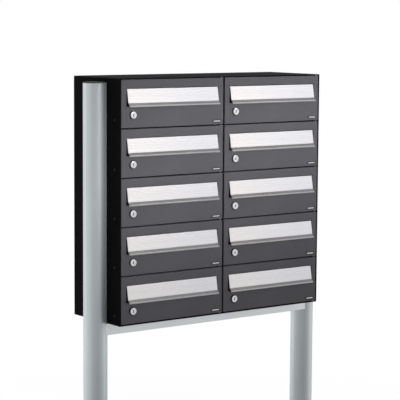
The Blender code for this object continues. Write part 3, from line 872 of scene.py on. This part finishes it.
def lock_body_mesh():
    """Chrome flange with a chamfered, slightly dished face, on a threaded barrel."""
    front = LOCK["face"]
    outer = LOCK["face_radius"]
    profile = [
        (BORE_RADIUS, front + FACE_DISH),
        (outer - 2.2 * FACE_CHAMFER, front + FACE_DISH),
        (outer - 1.6 * FACE_CHAMFER, front),
        (outer - FACE_CHAMFER, front),
        (outer - 0.3 * FACE_CHAMFER, front + 0.3 * FACE_CHAMFER),
        (outer, front + FACE_CHAMFER),
        (outer, FLANGE_BACK),
        (BARREL_RADIUS, FLANGE_BACK),
        (BARREL_RADIUS, NECK_END),
    ]
    level = THREAD_START
    while level < LOCK["end"] - THREAD_PITCH:
        profile.append((BARREL_RADIUS, level))
        profile.append((BARREL_RADIUS - THREAD_DEPTH, level + THREAD_PITCH / 2))
        level += THREAD_PITCH
    profile.append((BARREL_RADIUS - THREAD_DEPTH, LOCK["end"]))
    profile.append((BORE_RADIUS, LOCK["end"]))
    bm = bmesh.new()
    turn(bm, profile, LOCK_SEGMENTS)
    return finish_mesh("lock_body", bm, CHROME, FINE_CREASE)


def lock_core_mesh():
    """Plug with a chamfered face and a keyway, whose walls take the black plastic as painted shade."""
    front = LOCK["plug_face"]
    end = LOCK["cam_back"] - CAM_SHEET - CAM_GAP
    bm = bmesh.new()
    raise_outline(bm, circle(1.0, LOCK_SEGMENTS), (
        (PLUG_RADIUS - PLUG_CHAMFER, front),
        (PLUG_RADIUS, front + PLUG_CHAMFER),
        (PLUG_RADIUS, end),
    ))
    plug = finish_mesh("plug", bm, CHROME)
    keyway = bmesh.new()
    outline = rounded_outline(*KEYWAY_SIZE, KEYWAY_CORNER)
    raise_outline(keyway, outline, ((1.0, front - PAST), (1.0, front + KEYWAY_DEPTH)))
    # The keyway's walls take the black material: painted shade in the keyhole
    return carve(plug, finish_mesh("keyway", keyway, BLACK_PLASTIC_AND_SHADE))


def cam_mesh():
    """Flat zinc-plated cam that points to +X, with a round hub and a rounded tip."""
    half = CAM_WIDTH / 2
    hub = LOCK["hub_radius"]
    lean = math.acos(half / hub)
    tip = arc(half, -math.pi / 2, math.pi, 16, (LOCK["cam_reach"] - half, 0.0))
    outline = tip + arc(hub, math.pi / 2 - lean, math.pi + 2 * lean, 32)
    bm = bmesh.new()
    raise_outline(bm, outline, CAM_LEVELS, LOCK["cam_back"])
    return finish_mesh("cam", bm, ZINC)


def cam_screw_mesh():
    """Hexagon-headed screw and washer that hold the cam on the plug."""
    bm = bmesh.new()
    raise_outline(bm, circle(CAM_WASHER_RADIUS, 32), CAM_WASHER_LEVELS, LOCK["cam_back"])
    raise_outline(bm, circle(CAM_SCREW_RADIUS, 6), CAM_SCREW_LEVELS, LOCK["cam_back"])
    return finish_mesh("cam_screw", bm, ZINC)


def nut_mesh():
    """Hexagon nut that clamps the lock's barrel behind the door sheet."""
    corner = NUT_ACROSS_FLATS / 2 / math.cos(math.pi / 6)
    end = NUT_START + NUT_THICKNESS
    profile = [
        (BARREL_RADIUS + RING_GAP, NUT_START),
        (corner * NUT_TAPER, NUT_START),
        (corner, NUT_START + NUT_EDGE),
        (corner, end - NUT_EDGE),
        (corner * NUT_TAPER, end),
        (BARREL_RADIUS + RING_GAP, end),
    ]
    bm = bmesh.new()
    turn(bm, profile, 6, math.pi / 6)
    return finish_mesh("nut", bm, ZINC)


def shade_ring_mesh():
    """Black ring round the lock's flange, painted shade for the flange's shaded side and its contact
    shadow on the door.
    """
    inner = LOCK["face_radius"] + RING_GAP
    outer = inner + SHADE_RING_WIDTH
    bm = bmesh.new()
    turn(bm, [
        (inner, -RING_GAP),
        (inner, -SHADE_RING_PROUD),
        (outer - SHADE_RING_EDGE, -SHADE_RING_PROUD),
        (outer, -SHADE_RING_PROUD + SHADE_RING_EDGE),
        (outer + SHADE_RING_FLARE, -RING_GAP),
    ], LOCK_SEGMENTS)
    return finish_mesh("shade_ring", bm, BLACK_PLASTIC_AND_SHADE)


def add_locks():
    """Put a detailed lock in every door, in place of the plain CAD lock."""
    body = lock_body_mesh()
    core = lock_core_mesh()
    cam = cam_mesh()
    screw = cam_screw_mesh()
    nut = nut_mesh()
    shade_ring = shade_ring_mesh()
    for number in NUMBERS:
        low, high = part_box(f"lock_body_{number}")
        centre = (low + high) / 2
        place = (centre.x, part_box(f"door_{number}")[0].y, centre.z)
        door = f"door_{number}"
        lock = f"lock_{number}"
        shell = put(f"lock_shell_{number}", body, door, place)
        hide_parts(f"lock_body_{number}")
        put(f"lock_nut_{number}", nut, door, place)
        # Painted shade: a black ring round the flange
        put(f"lock_painted_shade_ring_{number}", shade_ring, door, place)
        plug = put(f"lock_core_{number}", core, lock, place)
        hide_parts(f"lock_plug_{number}")
        put(f"lock_cam_{number}", cam, lock, place)
        put(f"cam_screw_{number}", screw, lock, place)


# ---------------------------------------------------------- blank plates


def add_plates():
    """Put a small blank plate with a bright insert at the lower right of every door."""
    bm = bmesh.new()
    raise_outline(bm, rounded_outline(*PLATE_SIZE, PLATE_CORNER), PLATE_LEVELS)
    plate = finish_mesh("blank_plate", bm, BLACK_PLASTIC_AND_SHADE)
    bm = bmesh.new()
    raise_outline(bm, rounded_outline(*INSERT_SIZE, INSERT_CORNER), INSERT_LEVELS)
    insert = finish_mesh("plate_insert", bm, STAINLESS)
    for number in NUMBERS:
        low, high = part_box(f"door_{number}")
        place = (high.x - PLATE_FROM_RIGHT, low.y, low.z + PLATE_FROM_BOTTOM)
        put(f"blank_plate_{number}", plate, f"door_{number}", place)
        put(f"plate_insert_{number}", insert, f"door_{number}", place)


# ------------------------------------------------------------- fasteners


def dome(bm, centre, axis, radius, rise, segments=20, rings=4):
    """Add a low dome head that stands on a face, its axis pointing out of the face."""
    turned = Vector((0.0, 0.0, 1.0)).rotation_difference(Vector(axis)).to_matrix().to_4x4()
    place = Matrix.Translation(centre) @ turned
    levels = []
    for i in range(rings):
        angle = math.pi / 2 * i / rings
        ring = circle(radius * math.cos(angle), segments)
        levels.append([bm.verts.new(place @ Vector((u, v, rise * math.sin(angle)))) for u, v in ring])
    bm.faces.new(levels[0])
    for lower, upper in zip(levels, levels[1:]):
        for j in range(segments):
            k = (j + 1) % segments
            bm.faces.new((lower[j], lower[k], upper[k], upper[j]))
    crown = bm.verts.new(place @ Vector((0.0, 0.0, rise)))
    for j in range(segments):
        bm.faces.new((levels[-1][j], levels[-1][(j + 1) % segments], crown))


def add_rivets():
    """Plug the joining holes in the side sheets, one in every row, and rivet the back sheet on."""
    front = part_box("side_panel_left")[0].y
    for side, sign in SIDES:
        low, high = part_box(f"side_panel_{side}")
        face = low.x if sign < 0 else high.x
        bm = bmesh.new()
        for number in NUMBERS[::2]:
            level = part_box(f"door_{number}")[0].z + PLUG_ABOVE_FLOOR
            place = (face + sign * HAIR, front + PLUG_FROM_FRONT, level)
            dome(bm, place, (sign, 0, 0), RIVET_RADIUS, RIVET_RISE)
        mesh = finish_mesh("side_plugs", bm, BLACK_PLASTIC_AND_SHADE)
        put(f"side_plugs_{side}", mesh, "root", (0, 0, 0))
    low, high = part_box("back_panel")
    aside, below = RIVET_INSET
    bm = bmesh.new()
    for i in range(RIVETS_ACROSS):
        across = low.x + aside + (high.x - low.x - 2 * aside) * i / (RIVETS_ACROSS - 1)
        for level in (low.z + below, high.z - below):
            dome(bm, (across, high.y + HAIR, level), (0, 1, 0), RIVET_RADIUS, RIVET_RISE)
    mesh = finish_mesh("back_rivets", bm, HOUSING)
    put("back_rivets", mesh, "root", (0, 0, 0))


def add_stud_nuts():
    """Hold the post studs in every row with a washer and a flat hexagon nut inside the case."""
    for side, sign in SIDES:
        low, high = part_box(f"side_panel_{side}")
        face = high.x if sign < 0 else low.x
        depth = post_sizes(side, sign)[2]
        bm = bmesh.new()
        for number in NUMBERS[::2]:
            door_low, door_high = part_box(f"door_{number}")
            level = (door_low.z + door_high.z) / 2
            for sides, radius, start, end in STUD_RINGS:
                ring = circle(radius, sides)
                lift = min(STUD_EDGE, end / 3)
                steps = ((1.0, start), (1.0, end - lift), (1.0 - lift / radius, end))
                skin(bm, [
                    [(face - sign * away, depth + y * scale, level + z * scale) for y, z in ring]
                    for scale, away in steps
                ])
        mesh = finish_mesh("stud_nuts", bm, ZINC)
        put(f"stud_nuts_{side}", mesh, "root", (0, 0, 0))


def add_welds():
    """Run a rippled weld bead round the foot of each post."""
    for side, sign in SIDES:
        plate_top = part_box(f"base_plate_{side}")[1].z
        radius, axis_x, axis_y = post_sizes(side, sign)[:3]
        rings = []
        for i in range(WELD_STEPS):
            angle = math.tau * i / WELD_STEPS
            size = WELD_RADIUS * (1.0 + WELD_RIPPLE * math.cos(i * WELD_RIPPLE_STEP))
            bead = circle(size, WELD_SIDES, (radius + WELD_OFFSET, WELD_LIFT))
            rings.append([(out * math.cos(angle), out * math.sin(angle), height) for out, height in bead])
        bm = bmesh.new()
        skin(bm, rings, closed=True)
        mesh = finish_mesh("weld", bm, GALVANISED, crease=60.0)
        put(f"foot_weld_{side}", mesh, "root", (axis_x, axis_y, plate_top))


# -------------------------------------------------- floor, light, camera


def fading(tree, start, end):
    """Blend factor that rises from 0 at a start radius to 1 at an end radius round the origin."""
    place = tree.nodes.new("ShaderNodeTexCoord").outputs["Object"]
    length = tree.nodes.new("ShaderNodeVectorMath")
    length.operation = "LENGTH"
    tree.links.new(place, length.inputs[0])
    fade = tree.nodes.new("ShaderNodeMapRange")
    fade.interpolation_type = "SMOOTHSTEP"
    fade.inputs["From Min"].default_value = start
    fade.inputs["From Max"].default_value = end
    tree.links.new(length.outputs["Value"], fade.inputs["Value"])
    return fade.outputs["Result"]


def mixed(tree, factor, first, second):
    """Mix two shaders, from all of the first at 0 to all of the second at 1."""
    mix = tree.nodes.new("ShaderNodeMixShader")
    tree.links.new(factor, mix.inputs["Fac"])
    tree.links.new(first, mix.inputs[1])
    tree.links.new(second, mix.inputs[2])
    return mix.outputs["Shader"]


def emission(tree, strength):
    """White light of a given strength."""
    glow = tree.nodes.new("ShaderNodeEmission")
    glow.inputs["Strength"].default_value = strength
    return glow.outputs["Emission"]


def add_floor():
    """A pale studio floor, lit from within where the camera sees it, that fades into the backdrop."""
    bm = bmesh.new()
    bmesh.ops.create_circle(bm, cap_ends=True, radius=FLOOR_RADIUS, segments=128)
    mesh = bpy.data.meshes.new("floor")
    bm.to_mesh(mesh)
    bm.free()
    shader = Shader("pale_floor", (0.50, 0.50, 0.50), 0.80, specular=0.0)
    cloud = shader.noise(2.0, detail=3.0)
    shader.vary_colour(cloud, (0.495, 0.495, 0.50), (0.505, 0.505, 0.50))
    tree = shader.tree
    surface = shader.principled.outputs["BSDF"]
    lifted = tree.nodes.new("ShaderNodeAddShader")
    tree.links.new(surface, lifted.inputs[0])
    tree.links.new(emission(tree, FLOOR_GLOW), lifted.inputs[1])
    fade = fading(tree, *FLOOR_FADE)
    seen = mixed(tree, fade, lifted.outputs["Shader"], emission(tree, BACKDROP))
    clear = tree.nodes.new("ShaderNodeBsdfTransparent").outputs["BSDF"]
    bounced = mixed(tree, fading(tree, *FLOOR_BOUNCE), surface, clear)
    from_camera = tree.nodes.new("ShaderNodeLightPath").outputs["Is Camera Ray"]
    output = tree.nodes["Material Output"]
    tree.links.new(mixed(tree, from_camera, bounced, seen), output.inputs["Surface"])
    mesh.materials.append(shader.material)
    obj = bpy.data.objects.new("floor", mesh)
    obj.location = (0.0, 0.0, -FLOOR_DROP)
    bpy.context.scene.collection.objects.link(obj)


def heading(azimuth, elevation):
    """Unit vector away from the object. Azimuth 0 is straight ahead of the doors, 90 to their right."""
    a = math.radians(azimuth)
    e = math.radians(elevation)
    return Vector((math.sin(a) * math.cos(e), -math.cos(a) * math.cos(e), math.sin(e)))


def add_softbox(name, azimuth, elevation, distance, size, radiance, spread, shadow, target):
    """Aim a rectangular light of a given radiance at a place."""
    away = heading(azimuth, elevation)
    data = bpy.data.lights.new(name, "AREA")
    data.shape = "RECTANGLE"
    data.size, data.size_y = size
    data.energy = radiance * math.pi * size[0] * size[1]
    data.spread = math.radians(spread)
    data.use_shadow = shadow
    obj = bpy.data.objects.new(name, data)
    obj.location = target + away * distance
    obj.rotation_mode = "QUATERNION"
    obj.rotation_quaternion = (-away).to_track_quat("-Z", "Y")
    bpy.context.scene.collection.objects.link(obj)


def add_softboxes():
    front = CAD_BOX[0][1]
    for name, *settings, height in SOFTBOXES:
        add_softbox(name, *settings, Vector((0.0, front, height)))


def add_world():
    """White backdrop for the camera. The object is lit by broad soft lobes over a grey base."""
    world = bpy.data.worlds.new("studio")
    bpy.context.scene.world = world
    world.use_nodes = True
    tree = world.node_tree
    tree.nodes.clear()
    direction = tree.nodes.new("ShaderNodeTexCoord").outputs["Generated"]
    total = None
    for azimuth, elevation, inner, outer, radiance in LOBES:
        dot = tree.nodes.new("ShaderNodeVectorMath")
        dot.operation = "DOT_PRODUCT"
        dot.inputs[1].default_value = heading(azimuth, elevation)
        tree.links.new(direction, dot.inputs[0])
        lobe = tree.nodes.new("ShaderNodeMapRange")
        lobe.interpolation_type = "SMOOTHSTEP"
        lobe.inputs["From Min"].default_value = math.cos(math.radians(outer))
        lobe.inputs["From Max"].default_value = math.cos(math.radians(inner))
        lobe.inputs["To Min"].default_value = 0.0
        lobe.inputs["To Max"].default_value = radiance
        tree.links.new(dot.outputs["Value"], lobe.inputs["Value"])
        add = tree.nodes.new("ShaderNodeMath")
        add.operation = "ADD"
        add.inputs[0].default_value = BASE_RADIANCE
        tree.links.new(lobe.outputs["Result"], add.inputs[1])
        if total:
            tree.links.new(total, add.inputs[0])
        total = add.outputs["Value"]
    lit = tree.nodes.new("ShaderNodeBackground")
    lit.inputs["Color"].default_value = (1.0, 1.0, 1.0, 1.0)
    tree.links.new(total, lit.inputs["Strength"])
    seen = tree.nodes.new("ShaderNodeBackground")
    seen.inputs["Color"].default_value = (1.0, 1.0, 1.0, 1.0)
    seen.inputs["Strength"].default_value = BACKDROP
    from_camera = tree.nodes.new("ShaderNodeLightPath").outputs["Is Camera Ray"]
    output = tree.nodes.new("ShaderNodeOutputWorld")
    shown = mixed(tree, from_camera, lit.outputs["Background"], seen.outputs["Background"])
    tree.links.new(shown, output.inputs["Surface"])


def add_camera():
    """The camera, with its heading turned from +Y towards +X."""
    data = bpy.data.cameras.new("camera")
    data.lens = CAMERA_LENS
    data.sensor_width = 36.0
    data.clip_end = 200.0
    obj = bpy.data.objects.new("camera", data)
    bpy.context.scene.collection.objects.link(obj)
    turn_heading = Matrix.Rotation(-CAMERA_HEADING, 4, "Z")
    tilt = Matrix.Rotation(math.pi / 2 + CAMERA_TILT, 4, "X")
    roll = Matrix.Rotation(CAMERA_ROLL, 4, "Z")
    obj.matrix_world = Matrix.Translation(CAMERA_PLACE) @ turn_heading @ tilt @ roll
    bpy.context.scene.camera = obj


dress_cad_nodes()
add_doors()
add_flaps()
add_posts()
add_locks()
add_plates()
add_rivets()
add_stud_nuts()
add_welds()
add_floor()
add_softboxes()
add_world()
add_camera()
bpy.context.scene.view_settings.view_transform = "Standard"
